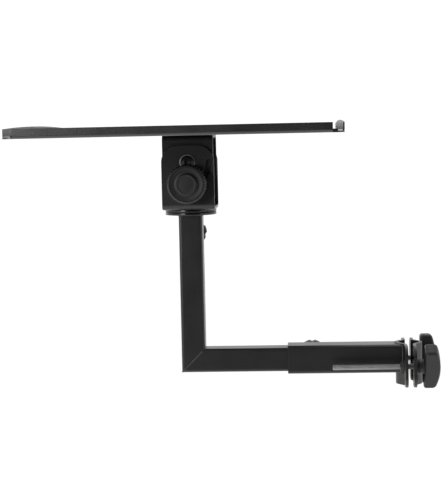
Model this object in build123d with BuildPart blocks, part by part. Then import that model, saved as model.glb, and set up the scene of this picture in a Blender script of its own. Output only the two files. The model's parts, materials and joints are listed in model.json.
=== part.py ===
from build123d import *
from math import cos, radians, sin
import os

# A pole-clamp arm with a tilting tray. Millimetres, +Z up.
# The origin is on the pole's axis at mid-height of the clamp jaws.
# +X points from the tray to the clamp knobs, +Y to the side of the small lock knobs.

os.makedirs("parts", exist_ok=True)

# Fits
screw_fit = 0.05            # radial, screw in a nut or a tapped hole
turning_fit = 0.06          # radial, bush on its pin
hole_play = 0.3             # radial, screw through a drilled hole
face_gap = 0.2              # between flat faces that slide past each other
seat_gap = 0.3              # between a flat face and a round one

# Clamp jaws, bent from plate
pole_r = 11.0
jaw_height = 44.0
jaw_width = 80.0
jaw_wall = 3.0
jaw_wrap = radians(33)      # half the arc that each seat wraps round the pole
ear_gap = 6.0               # between the two jaws' ears
ear_bend_r = 4.5            # on the plate's middle line
ear_corner_r = 11.0

# Clamp screws and their wing knobs
clamp_screw_r = 3.0
screw_chamfer = 0.6
clamp_screw_inset = 11.0    # from an ear's end to the screw
clamp_tail = 75.0           # thread past the fixed jaw's ears
clamp_nut_width = 10.0
clamp_nut_height = 5.0
washer_wall = 1.6
washer_ring = 4.0           # a washer's radius less its screw's
wing_clear = 6.0            # between the two wings when they lie in line
wing_depth = 16.0
wing_tip = 11.0             # height of the wing over its flat back, at its ends
wing_height = 17.0          # and in the middle
wing_corner_r = 2.0
hub_r = 7.5
hub_height = 5.5
near_wing_turn = 36.0       # degrees, how far each wing stands from upright
far_wing_turn = 0.0

# Sleeve and arm, square tubes one inside the other
beam_size = 25.0
tube_wall = 2.0
sleeve_play = 0.5           # each side, between sleeve and beam
tube_corner_r = 3.0
arm_z = 6.0                 # height of the sleeve's and beam's middle line
sleeve_end_x = -128.0
beam_insert = 70.0          # length of beam inside the sleeve
upright_x = -228.0
upright_top_z = 161.0

# Lock screws with round knobs, on the sleeve and on the upright
lock_screw_r = 3.0
lock_nut_r = 8.0
lock_nut_height = 8.0
boss_chamfer = 0.8
lock_pad_wall = 2.5
lock_pad_r = 2.85
lock_hole_r = 3.1
lock_travel = 4.0           # room under the knob when the lock is tight
lock_knob_r = 14.0
lock_knob_height = 14.0
lock_knob_lobes = 7
lock_dip_r = 4.0
lock_dip_out = 2.8          # from the knob's rim out to each dip's middle
lock_knob_edge_r = 1.6
sleeve_lock_inset = 26.0    # from the sleeve's open end
pan_lock_drop = 21.0        # from the upright's top

# Swivel
disc_wall = 3.0
disc_step = 0.2             # the discs' radius less than half the fork's width
disc_edge_r = 0.8
bush_wall = 2.4             # at its thinnest
post_length = 40.0
post_waist = 0.8            # depth of the groove that the lock's pad sits in
post_waist_length = 9.0
bush_fit = 0.1
post_bolt_r = 4.0
post_bolt_depth = 16.0

# Fork that carries the tray
fork_depth = 66.0
fork_wall = 3.0
fork_half = 27.4
fork_bend_r = 4.5           # on the plate's middle line
pivot_rise = 49.8           # from the fork's underside to the tilt pivot
fork_flat = 9.8             # half the flat between the fork's round shoulders
pivot_r = 4.0
pivot_thread_past = 2.0     # of the pivot bolt, past its nut
slot_r = 22.3               # from the pivot to the tilt stud
stud_r = 3.0
tilt_range = 90             # degrees

# Channel under the tray
channel_gap = 1.5           # each side, between channel and fork
channel_wall = 3.0
channel_step = 0.9          # each side, the channel narrower than the fork
channel_bend_r = 4.5
channel_lip = 8.7           # below the tilt stud's middle
channel_corner_r = 20.0
flange_r = 10.0
flange_wall = 1.2
pivot_bush_wall = 2.0
stud_head_r = 7.0
stud_head_height = 3.0

# Hexagon and button heads
m8_width = 13.0
m8_height = 5.3
m8_washer_r = 8.0
button_r = 7.0
button_height = 4.4
button_dome_r = 3.5
button_socket = 5.0
nut_rounding = 1.08         # a nut's corners, over half its width across flats
tray_bolt_r = 2.5
tray_bolt_head_r = 4.75
tray_bolt_head = 1.9
tray_socket_depth = 1.3
tray_bolt_socket = 3.0
tray_nut_width = 8.0
tray_nut_height = 4.0
tray_bolt_spacing = 32.0

# Tilt knob
tilt_knob_r = 20.5
tilt_knob_height = 12.5
tilt_knob_face_r = 18.6
tilt_knob_flutes = 40
tilt_flute_r = 0.8
tilt_boss_r = 10.8
tilt_boss_height = 3.5
tilt_hub_r = 9.0
tilt_washer_clear = 2.3     # between the tilt washer and the pivot washer
tilt_washer_wall = 2.0
tilt_knob_clear = 1.4       # between the pivot bolt's head and the knob's back

# Tray, folded from sheet
tray_length = 318.0
tray_width = 410.0
tray_clear = 0.6            # between the tray's underside and the fork as it tilts
tray_wall = 1.5
tray_bend_r = 2.25          # on the sheet's middle line
side_wall_height = 9.5
end_wall_height = 12.5
wall_stop = 11.0            # each wall ends this far before the corner
corner_tab_r = 10.0
end_wall_corner_r = 4.0
mat_wall = 2.0
mat_margin = 6.0
mat_corner_r = 12.0
mat_hole_play = 1.5


def square_tube(size):
    """Section of a square tube, in the current sketch."""
    RectangleRounded(size, size, tube_corner_r)
    inner = size - 2 * tube_wall
    RectangleRounded(inner, inner, tube_corner_r - tube_wall, mode=Mode.SUBTRACT)


def hexagon(across_flats):
    """Hexagon, in the current sketch."""
    RegularPolygon(across_flats / 2, 6, major_radius=False)


def ring(plane, outer_r, inner_r, height):
    """Flat ring standing on a plane."""
    with BuildPart() as piece:
        with BuildSketch(plane):
            Circle(outer_r)
            Circle(inner_r, mode=Mode.SUBTRACT)
        extrude(amount=height)
    return piece


def hex_nut(plane, across_flats, bore_r, height):
    """Hexagon nut standing on a plane, with its corners turned off."""
    with BuildPart() as nut:
        with BuildSketch(plane):
            hexagon(across_flats)
        extrude(amount=height)
        with BuildSketch(plane):
            Circle(across_flats / 2 * nut_rounding)
        extrude(amount=height, mode=Mode.INTERSECT)
        with BuildSketch(plane):
            Circle(bore_r)
        extrude(amount=height, mode=Mode.SUBTRACT)
    return nut


# Clamp jaws

seat_mid_r = pole_r + jaw_wall / 2
ear_mid_x = (ear_gap + jaw_wall) / 2
seat_apex_x = seat_mid_r / cos(jaw_wrap)
leg_end_y = (seat_mid_r - ear_mid_x * cos(jaw_wrap)) / sin(jaw_wrap)
ear_face_x = ear_gap / 2 + jaw_wall     # outer face of an ear
clamp_screw_y = jaw_width / 2 - clamp_screw_inset


def jaw(side):
    """Jaw on one side of the pole: two ears, two sloping legs and a round seat."""
    with BuildPart() as plate:
        with BuildSketch(Plane.XY.offset(-jaw_height / 2)):
            with BuildLine():
                FilletPolyline(
                    (side * ear_mid_x, -jaw_width / 2),
                    (side * ear_mid_x, -leg_end_y),
                    (side * seat_apex_x, 0),
                    (side * ear_mid_x, leg_end_y),
                    (side * ear_mid_x, jaw_width / 2),
                    radius=[ear_bend_r, seat_mid_r, ear_bend_r],
                )
            trace(line_width=jaw_wall)
        extrude(amount=jaw_height)
        ear_edges = plate.edges().filter_by(Axis.X).group_by(Axis.Y)
        fillet(ear_edges[0] + ear_edges[-1], radius=ear_corner_r)
        with BuildSketch(Plane.YZ):
            with Locations((-clamp_screw_y, 0), (clamp_screw_y, 0)):
                Circle(clamp_screw_r + hole_play)
        extrude(amount=2 * ear_face_x, both=True, mode=Mode.SUBTRACT)
    return plate


fixed_jaw = jaw(-1)
fixed_jaw.part.label = "fixed_jaw"
export_step(fixed_jaw.part, "parts/fixed_jaw.step")

moving_jaw = jaw(1)
moving_jaw.part.label = "moving_jaw"
export_step(moving_jaw.part, "parts/moving_jaw.step")

# Nuts welded to the fixed jaw's ears, one for each clamp screw
with BuildPart() as clamp_nuts:
    for y in (-clamp_screw_y, clamp_screw_y):
        nut_plane = Plane((-ear_face_x - clamp_nut_height, y, 0), x_dir=(0, 1, 0), z_dir=(1, 0, 0))
        add(hex_nut(nut_plane, clamp_nut_width, clamp_screw_r + screw_fit, clamp_nut_height).part)
clamp_nuts.part.label = "clamp_nuts"
export_step(clamp_nuts.part, "parts/clamp_nuts.step")

# Clamp screws and wing knobs

clamp_washer_x = ear_face_x + face_gap
wing_hub_x = clamp_washer_x + washer_wall + face_gap
wing_back_x = wing_hub_x + hub_height
clamp_screw_start_x = -ear_face_x - clamp_tail
clamp_screw_end_x = wing_back_x + wing_tip

with BuildPart() as clamp_washers:
    with BuildSketch(Plane.YZ.offset(clamp_washer_x)):
        with Locations((-clamp_screw_y, 0), (clamp_screw_y, 0)):
            Circle(clamp_screw_r + washer_ring)
            Circle(clamp_screw_r + hole_play, mode=Mode.SUBTRACT)
    extrude(amount=washer_wall)
clamp_washers.part.label = "clamp_washers"
export_step(clamp_washers.part, "parts/clamp_washers.step")


def clamp_screw(y):
    """Threaded rod along X through both jaws."""
    with BuildPart() as rod:
        with BuildSketch(Plane.YZ.offset(clamp_screw_start_x)):
            with Locations((y, 0)):
                Circle(clamp_screw_r)
        extrude(amount=clamp_screw_end_x - clamp_screw_start_x)
        chamfer(rod.faces().sort_by(Axis.X)[0].edges(), length=screw_chamfer)
    return rod


def wing_knob(y, turn):
    """Moulded wing with a flat back and a domed outer face, on a round hub."""
    half_span = clamp_screw_y - wing_clear / 2
    wing_plane = Plane((0, y, 0), x_dir=(1, 0, 0), z_dir=(0, -cos(radians(turn)), -sin(radians(turn))))
    with BuildPart() as knob:
        with BuildSketch(wing_plane):
            with BuildLine():
                Polyline(
                    (wing_back_x + wing_tip, half_span),
                    (wing_back_x, half_span),
                    (wing_back_x, -half_span),
                    (wing_back_x + wing_tip, -half_span),
                )
                ThreePointArc(
                    (wing_back_x + wing_tip, -half_span),
                    (wing_back_x + wing_height, 0),
                    (wing_back_x + wing_tip, half_span),
                )
            make_face()
        extrude(amount=wing_depth / 2, both=True)
        fillet(knob.edges(), radius=wing_corner_r)
        with BuildSketch(Plane.YZ.offset(wing_hub_x)):
            with Locations((y, 0)):
                Circle(hub_r)
        extrude(amount=hub_height + wing_corner_r)
        with BuildSketch(Plane.YZ.offset(wing_hub_x)):
            with Locations((y, 0)):
                Circle(clamp_screw_r + screw_fit)
        extrude(amount=clamp_screw_end_x - wing_hub_x + face_gap, mode=Mode.SUBTRACT)
    return knob


clamp_screw_near = clamp_screw(-clamp_screw_y)
clamp_screw_near.part.label = "clamp_screw_near"
export_step(clamp_screw_near.part, "parts/clamp_screw_near.step")

clamp_screw_far = clamp_screw(clamp_screw_y)
clamp_screw_far.part.label = "clamp_screw_far"
export_step(clamp_screw_far.part, "parts/clamp_screw_far.step")

wing_knob_near = wing_knob(-clamp_screw_y, near_wing_turn)
wing_knob_near.part.label = "wing_knob_near"
export_step(wing_knob_near.part, "parts/wing_knob_near.step")

wing_knob_far = wing_knob(clamp_screw_y, far_wing_turn)
wing_knob_far.part.label = "wing_knob_far"
export_step(wing_knob_far.part, "parts/wing_knob_far.step")

# Sleeve and arm

sleeve_size = beam_size + 2 * (tube_wall + sleeve_play)
sleeve_back_y = sleeve_size / 2
sleeve_lock_x = sleeve_end_x + sleeve_lock_inset
beam_back_y = beam_size / 2
beam_end_x = sleeve_end_x + beam_insert
upright_lock_z = upright_top_z - pan_lock_drop
jaw_back_r = pole_r + jaw_wall


def jaw_leg_x(y):
    """X of the fixed jaw's sloping back at a distance y from its middle."""
    return -(jaw_back_r - y * sin(jaw_wrap)) / cos(jaw_wrap)


# The sleeve's end is cut to lie on the fixed jaw's two legs and to clear its round seat
cope_x = -jaw_back_r - seat_gap
cope_y = (jaw_back_r + cope_x * cos(jaw_wrap)) / sin(jaw_wrap)

with BuildPart() as sleeve_tube:
    with BuildSketch(Plane.YZ.offset(sleeve_end_x)):
        with Locations((0, arm_z)):
            square_tube(sleeve_size)
    extrude(amount=-sleeve_end_x)
    with BuildSketch(Plane.XY.offset(arm_z - sleeve_size)):
        with BuildLine():
            Polyline(
                (cope_x, -cope_y),
                (cope_x, cope_y),
                (jaw_leg_x(sleeve_size), sleeve_size),
                (sleeve_size, sleeve_size),
                (sleeve_size, -sleeve_size),
                (jaw_leg_x(sleeve_size), -sleeve_size),
                close=True,
            )
        make_face()
    extrude(amount=2 * sleeve_size, mode=Mode.SUBTRACT)
    with BuildSketch(Plane.XZ):
        with Locations((sleeve_lock_x, arm_z)):
            Circle(lock_hole_r)
    extrude(amount=-sleeve_size, mode=Mode.SUBTRACT)
sleeve_tube.part.label = "sleeve_tube"
export_step(sleeve_tube.part, "parts/sleeve_tube.step")

arm_bottom_z = arm_z - beam_size / 2
upright_left_x = upright_x - beam_size / 2

# Beam and upright meet in a mitre through the elbow's outer corner
mitre = Plane((upright_left_x, 0, arm_bottom_z), x_dir=(0, 1, 0), z_dir=(1, 0, -1))

with BuildPart() as beam_tube:
    with BuildSketch(Plane.YZ.offset(upright_left_x)):
        with Locations((0, arm_z)):
            square_tube(beam_size)
    extrude(amount=beam_end_x - upright_left_x)
    split(bisect_by=mitre, keep=Keep.TOP)
beam_tube.part.label = "beam_tube"
export_step(beam_tube.part, "parts/beam_tube.step")

with BuildPart() as upright_tube:
    with BuildSketch(Plane.XY.offset(arm_bottom_z)):
        with Locations((upright_x, 0)):
            square_tube(beam_size)
    extrude(amount=upright_top_z - arm_bottom_z)
    split(bisect_by=mitre, keep=Keep.BOTTOM)
    with BuildSketch(Plane.XZ):
        with Locations((upright_x, upright_lock_z)):
            Circle(lock_hole_r)
    extrude(amount=-beam_size, mode=Mode.SUBTRACT)
upright_tube.part.label = "upright_tube"
export_step(upright_tube.part, "parts/upright_tube.step")

# Lock screws

bush_size = beam_size - 2 * (tube_wall + bush_fit)
post_r = bush_size / 2 - bush_wall


def lock_plane(x, y, z):
    """Plane facing +Y on a lock screw's axis."""
    return Plane((x, y, z), x_dir=(1, 0, 0), z_dir=(0, 1, 0))


def lock_nut(x, y, z):
    """Round boss welded on a tube's back face, threaded for the lock screw."""
    with BuildPart() as boss:
        with BuildSketch(lock_plane(x, y, z)):
            Circle(lock_nut_r)
        extrude(amount=lock_nut_height)
        chamfer(boss.faces().sort_by(Axis.Y)[-1].edges(), length=boss_chamfer)
        with BuildSketch(lock_plane(x, y, z)):
            Circle(lock_hole_r)
        extrude(amount=lock_nut_height, mode=Mode.SUBTRACT)
    return boss


def lock_pad(x, y, z):
    """Plug between the lock screw's tip and the piece that it holds."""
    with BuildPart() as pad:
        with BuildSketch(lock_plane(x, y, z)):
            Circle(lock_pad_r)
        extrude(amount=lock_pad_wall)
    return pad


def lock_screw(x, y, z, knob_y):
    """Set screw from the pad to inside the knob."""
    with BuildPart() as screw:
        with BuildSketch(lock_plane(x, y, z)):
            Circle(lock_screw_r)
        extrude(amount=knob_y + lock_knob_height / 2 - y)
    return screw


def lock_knob(x, z, knob_y):
    """Round knob with finger dips in its rim and a low hub under it."""
    with BuildPart() as knob:
        with BuildSketch(lock_plane(x, knob_y, z)):
            Circle(lock_knob_r)
            with PolarLocations(lock_knob_r + lock_dip_out, lock_knob_lobes):
                Circle(lock_dip_r, mode=Mode.SUBTRACT)
        extrude(amount=lock_knob_height)
        rims = knob.faces().filter_by(Axis.Y)
        fillet(rims.edges(), radius=lock_knob_edge_r)
        with BuildSketch(lock_plane(x, knob_y, z)):
            Circle(lock_screw_r + screw_fit)
        extrude(amount=lock_knob_height / 2 + face_gap, mode=Mode.SUBTRACT)
    return knob


sleeve_pad_y = beam_back_y + face_gap
sleeve_screw_y = sleeve_pad_y + lock_pad_wall + face_gap
sleeve_knob_y = sleeve_back_y + lock_nut_height + lock_travel

sleeve_lock_nut = lock_nut(sleeve_lock_x, sleeve_back_y, arm_z)
sleeve_lock_nut.part.label = "sleeve_lock_nut"
export_step(sleeve_lock_nut.part, "parts/sleeve_lock_nut.step")

sleeve_lock_pad = lock_pad(sleeve_lock_x, sleeve_pad_y, arm_z)
sleeve_lock_pad.part.label = "sleeve_lock_pad"
export_step(sleeve_lock_pad.part, "parts/sleeve_lock_pad.step")

sleeve_lock_screw = lock_screw(sleeve_lock_x, sleeve_screw_y, arm_z, sleeve_knob_y)
sleeve_lock_screw.part.label = "sleeve_lock_screw"
export_step(sleeve_lock_screw.part, "parts/sleeve_lock_screw.step")

sleeve_lock_knob = lock_knob(sleeve_lock_x, arm_z, sleeve_knob_y)
sleeve_lock_knob.part.label = "sleeve_lock_knob"
export_step(sleeve_lock_knob.part, "parts/sleeve_lock_knob.step")

pan_pad_y = post_r - post_waist + seat_gap
pan_screw_y = pan_pad_y + lock_pad_wall + face_gap
pan_knob_y = beam_back_y + lock_nut_height + lock_travel

pan_lock_nut = lock_nut(upright_x, beam_back_y, upright_lock_z)
pan_lock_nut.part.label = "pan_lock_nut"
export_step(pan_lock_nut.part, "parts/pan_lock_nut.step")

pan_lock_pad = lock_pad(upright_x, pan_pad_y, upright_lock_z)
pan_lock_pad.part.label = "pan_lock_pad"
export_step(pan_lock_pad.part, "parts/pan_lock_pad.step")

pan_lock_screw = lock_screw(upright_x, pan_screw_y, upright_lock_z, pan_knob_y)
pan_lock_screw.part.label = "pan_lock_screw"
export_step(pan_lock_screw.part, "parts/pan_lock_screw.step")

pan_lock_knob = lock_knob(upright_x, upright_lock_z, pan_knob_y)
pan_lock_knob.part.label = "pan_lock_knob"
export_step(pan_lock_knob.part, "parts/pan_lock_knob.step")

# Swivel

upper_disc_z = upright_top_z + disc_wall + face_gap
fork_z = upper_disc_z + disc_wall
bush_z = upright_top_z - post_length
disc_r = fork_half - disc_step


def head_plane(z):
    """Horizontal plane centred on the upright."""
    return Plane((upright_x, 0, z))


with BuildPart() as swivel_bush:
    with BuildSketch(head_plane(bush_z)):
        RectangleRounded(bush_size, bush_size, tube_corner_r - tube_wall)
        Circle(post_r + turning_fit, mode=Mode.SUBTRACT)
    extrude(amount=post_length)
    with BuildSketch(lock_plane(upright_x, 0, upright_lock_z)):
        Circle(lock_hole_r)
    extrude(amount=beam_size, mode=Mode.SUBTRACT)
swivel_bush.part.label = "swivel_bush"
export_step(swivel_bush.part, "parts/swivel_bush.step")

with BuildPart() as lower_disc:
    with BuildSketch(head_plane(upright_top_z)):
        Circle(disc_r)
        Circle(post_r + hole_play, mode=Mode.SUBTRACT)
    extrude(amount=disc_wall)
    disc_rims = lower_disc.edges().filter_by(GeomType.CIRCLE).sort_by(SortBy.RADIUS)[-2:]
    fillet(disc_rims, radius=disc_edge_r)
lower_disc.part.label = "lower_disc"
export_step(lower_disc.part, "parts/lower_disc.step")

with BuildPart() as upper_disc:
    with BuildSketch(head_plane(upper_disc_z)):
        Circle(disc_r)
        Circle(post_r + screw_fit, mode=Mode.SUBTRACT)
    extrude(amount=disc_wall)
    disc_rims = upper_disc.edges().filter_by(GeomType.CIRCLE).sort_by(SortBy.RADIUS)[-2:]
    fillet(disc_rims, radius=disc_edge_r)
upper_disc.part.label = "upper_disc"
export_step(upper_disc.part, "parts/upper_disc.step")

with BuildPart() as swivel_post:
    with BuildSketch(head_plane(bush_z)):
        Circle(post_r)
    extrude(amount=fork_z - bush_z)
    with BuildSketch(head_plane(upright_lock_z - post_waist_length / 2)):
        Circle(post_r)
        Circle(post_r - post_waist, mode=Mode.SUBTRACT)
    extrude(amount=post_waist_length, mode=Mode.SUBTRACT)
    with BuildSketch(head_plane(fork_z)):
        Circle(post_bolt_r + screw_fit)
    extrude(amount=-post_bolt_depth, mode=Mode.SUBTRACT)
swivel_post.part.label = "swivel_post"
export_step(swivel_post.part, "parts/swivel_post.step")

# Fork

fork_face_y = fork_depth / 2
fork_inner_y = fork_face_y - fork_wall
fork_shoulder_r = fork_half - fork_flat
pivot_z = fork_z + pivot_rise
fork_top_z = pivot_z + fork_shoulder_r


def cheek_plane(y):
    """Plane facing -Y through the tilt pivot, a distance y from the middle."""
    return Plane((upright_x, y, pivot_z), x_dir=(1, 0, 0), z_dir=(0, -1, 0))


# The slot turns about the pivot from the stud's place at rest to its place at full tilt
tilt_slot = CenterArc((0, 0), slot_r, -90, tilt_range, mode=Mode.PRIVATE)

with BuildPart() as fork:
    fork_mid_y = fork_face_y - fork_wall / 2
    with BuildSketch(Plane.YZ.offset(upright_x - fork_half)):
        with BuildLine():
            FilletPolyline(
                (-fork_mid_y, fork_top_z),
                (-fork_mid_y, fork_z + fork_wall / 2),
                (fork_mid_y, fork_z + fork_wall / 2),
                (fork_mid_y, fork_top_z),
                radius=fork_bend_r,
            )
        trace(line_width=fork_wall)
    extrude(amount=2 * fork_half)
    shoulders = fork.edges().filter_by(Axis.Y).group_by(Axis.Z)[-1]
    fillet(shoulders, radius=fork_shoulder_r)
    with BuildSketch(cheek_plane(0)):
        Circle(pivot_r + screw_fit)
    extrude(amount=fork_depth, both=True, mode=Mode.SUBTRACT)
    with BuildSketch(cheek_plane(0)):
        SlotArc(arc=tilt_slot, height=2 * (stud_r + hole_play))
    extrude(amount=fork_depth, mode=Mode.SUBTRACT)
    with BuildSketch(head_plane(fork_z)):
        Circle(post_bolt_r + hole_play)
    extrude(amount=fork_wall, mode=Mode.SUBTRACT)
fork.part.label = "fork"
export_step(fork.part, "parts/fork.step")

# Bolt from inside the fork down into the swivel post, with its washer
post_washer_z = fork_z + fork_wall
post_head_z = post_washer_z + washer_wall

post_washer = ring(head_plane(post_washer_z), m8_washer_r, post_bolt_r + hole_play, washer_wall)
post_washer.part.label = "post_washer"
export_step(post_washer.part, "parts/post_washer.step")

with BuildPart() as post_bolt:
    with BuildSketch(head_plane(post_head_z)):
        hexagon(m8_width)
    extrude(amount=m8_height)
    with BuildSketch(head_plane(post_head_z)):
        Circle(post_bolt_r)
    extrude(amount=-washer_wall - fork_wall - post_bolt_depth + face_gap)
post_bolt.part.label = "post_bolt"
export_step(post_bolt.part, "parts/post_bolt.step")

# Pivot bolt

near_washer_y = -fork_face_y - washer_wall
far_washer_y = fork_face_y + washer_wall

with BuildPart() as pivot_washers:
    for y in (-fork_face_y, far_washer_y):
        with BuildSketch(cheek_plane(y)):
            Circle(m8_washer_r)
            Circle(pivot_r + hole_play, mode=Mode.SUBTRACT)
        extrude(amount=washer_wall)
pivot_washers.part.label = "pivot_washers"
export_step(pivot_washers.part, "parts/pivot_washers.step")

with BuildPart() as pivot_bolt:
    with BuildSketch(cheek_plane(far_washer_y + m8_height + pivot_thread_past)):
        Circle(pivot_r)
    extrude(amount=far_washer_y + m8_height + pivot_thread_past - near_washer_y)
    with BuildSketch(cheek_plane(near_washer_y)):
        Circle(button_r)
    extrude(amount=button_height)
    button_edge = pivot_bolt.edges().sort_by(Axis.Y)[0]
    fillet(button_edge, radius=button_dome_r)
    with BuildSketch(cheek_plane(near_washer_y - button_height)):
        hexagon(button_socket)
    extrude(amount=-button_height / 2, mode=Mode.SUBTRACT)
pivot_bolt.part.label = "pivot_bolt"
export_step(pivot_bolt.part, "parts/pivot_bolt.step")

pivot_nut = hex_nut(lock_plane(upright_x, far_washer_y, pivot_z), m8_width, pivot_r + screw_fit, m8_height)
pivot_nut.part.label = "pivot_nut"
export_step(pivot_nut.part, "parts/pivot_nut.step")

# Channel and its bushes

channel_face_y = fork_inner_y - channel_gap
channel_inner_y = channel_face_y - channel_wall
bush_r = pivot_r + turning_fit + pivot_bush_wall
channel_half = fork_half - channel_step
tray_z = pivot_z + fork_half + tray_clear
channel_top_z = tray_z - channel_wall

with BuildPart() as tilt_channel:
    channel_mid_y = channel_face_y - channel_wall / 2
    channel_low_z = pivot_z - slot_r - channel_lip
    with BuildSketch(Plane.YZ.offset(upright_x - channel_half)):
        with BuildLine():
            FilletPolyline(
                (-channel_mid_y, channel_low_z),
                (-channel_mid_y, tray_z - channel_wall / 2),
                (channel_mid_y, tray_z - channel_wall / 2),
                (channel_mid_y, channel_low_z),
                radius=channel_bend_r,
            )
        trace(line_width=channel_wall)
    extrude(amount=2 * channel_half)
    lower_corners = tilt_channel.edges().filter_by(Axis.Y).group_by(Axis.Z)[0]
    fillet(lower_corners, radius=channel_corner_r)
    with BuildSketch(cheek_plane(0)):
        Circle(bush_r + screw_fit)
    extrude(amount=fork_depth, both=True, mode=Mode.SUBTRACT)
    with BuildSketch(cheek_plane(0)):
        with Locations((0, -slot_r)):
            Circle(stud_r + screw_fit)
    extrude(amount=fork_depth, mode=Mode.SUBTRACT)
    with BuildSketch(head_plane(channel_top_z)):
        with GridLocations(tray_bolt_spacing, tray_bolt_spacing, 2, 2):
            Circle(tray_bolt_r + hole_play)
    extrude(amount=channel_wall, mode=Mode.SUBTRACT)
tilt_channel.part.label = "tilt_channel"
export_step(tilt_channel.part, "parts/tilt_channel.step")

# Flanged bushes in the channel's cheeks; their flanges keep it off the fork
with BuildPart() as pivot_bushes:
    for side in (-1, 1):
        with BuildSketch(cheek_plane(side * channel_inner_y)):
            Circle(bush_r)
            Circle(pivot_r + turning_fit, mode=Mode.SUBTRACT)
        extrude(amount=-side * (channel_wall + flange_wall))
        with BuildSketch(cheek_plane(side * channel_face_y)):
            Circle(flange_r)
            Circle(pivot_r + turning_fit, mode=Mode.SUBTRACT)
        extrude(amount=-side * flange_wall)
pivot_bushes.part.label = "pivot_bushes"
export_step(pivot_bushes.part, "parts/pivot_bushes.step")

# Tilt stud and knob

tilt_washer_y = fork_face_y + face_gap
tilt_washer_r = slot_r - m8_washer_r - tilt_washer_clear
tilt_hub_y = tilt_washer_y + tilt_washer_wall + face_gap
tilt_back_y = fork_face_y + washer_wall + button_height + tilt_knob_clear
tilt_face_y = tilt_back_y + tilt_knob_height
stud_end_y = tilt_back_y + tilt_knob_height / 2


def stud_plane(distance):
    """Plane facing -Y on the tilt stud's axis, a distance out from the middle."""
    return Plane((upright_x, -distance, pivot_z - slot_r), x_dir=(1, 0, 0), z_dir=(0, -1, 0))


with BuildPart() as tilt_stud:
    with BuildSketch(stud_plane(channel_inner_y - stud_head_height)):
        Circle(stud_head_r)
    extrude(amount=stud_head_height)
    with BuildSketch(stud_plane(channel_inner_y)):
        Circle(stud_r)
    extrude(amount=stud_end_y - channel_inner_y)
tilt_stud.part.label = "tilt_stud"
export_step(tilt_stud.part, "parts/tilt_stud.step")

tilt_washer = ring(stud_plane(tilt_washer_y), tilt_washer_r, stud_r + hole_play, tilt_washer_wall)
tilt_washer.part.label = "tilt_washer"
export_step(tilt_washer.part, "parts/tilt_washer.step")

knob_rim_step = tilt_knob_r - tilt_knob_face_r
knob_axis = Axis((upright_x, 0, pivot_z - slot_r), (0, -1, 0))
knob_section = Plane((upright_x, 0, pivot_z - slot_r), x_dir=(1, 0, 0), z_dir=(0, 0, -1))

with BuildPart() as tilt_knob:
    with BuildSketch(stud_plane(tilt_back_y)):
        Circle(tilt_knob_r)
        with PolarLocations(tilt_knob_r, tilt_knob_flutes):
            Circle(tilt_flute_r, mode=Mode.SUBTRACT)
    extrude(amount=tilt_knob_height)
    # The rim is turned down to a smooth bevel round the outer face
    with BuildSketch(knob_section):
        with BuildLine():
            Polyline(
                (0, tilt_back_y),
                (tilt_knob_r, tilt_back_y),
                (tilt_knob_r, tilt_face_y - knob_rim_step),
                (tilt_knob_face_r, tilt_face_y),
                (0, tilt_face_y),
                close=True,
            )
        make_face()
    revolve(axis=knob_axis, mode=Mode.INTERSECT)
    with BuildSketch(stud_plane(tilt_face_y)):
        Circle(tilt_boss_r)
    extrude(amount=tilt_boss_height)
    boss_edge = tilt_knob.edges().filter_by(GeomType.CIRCLE).sort_by(Axis.Y)[0]
    fillet(boss_edge, radius=tilt_boss_height / 3)
    with BuildSketch(stud_plane(tilt_hub_y)):
        Circle(tilt_hub_r)
    extrude(amount=tilt_back_y - tilt_hub_y)
    with BuildSketch(stud_plane(tilt_hub_y)):
        Circle(stud_r + screw_fit)
    extrude(amount=stud_end_y - tilt_hub_y + face_gap, mode=Mode.SUBTRACT)
tilt_knob.part.label = "tilt_knob"
export_step(tilt_knob.part, "parts/tilt_knob.step")

# Tray

tray_left_x = upright_x - tray_length / 2
tray_half = tray_width / 2
bed_z = tray_z + tray_wall
side_mid_y = tray_half - tray_wall / 2
end_mid_x = tray_length / 2 - tray_wall / 2
side_run = tray_length / 2 - wall_stop
end_run = tray_half - wall_stop

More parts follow.
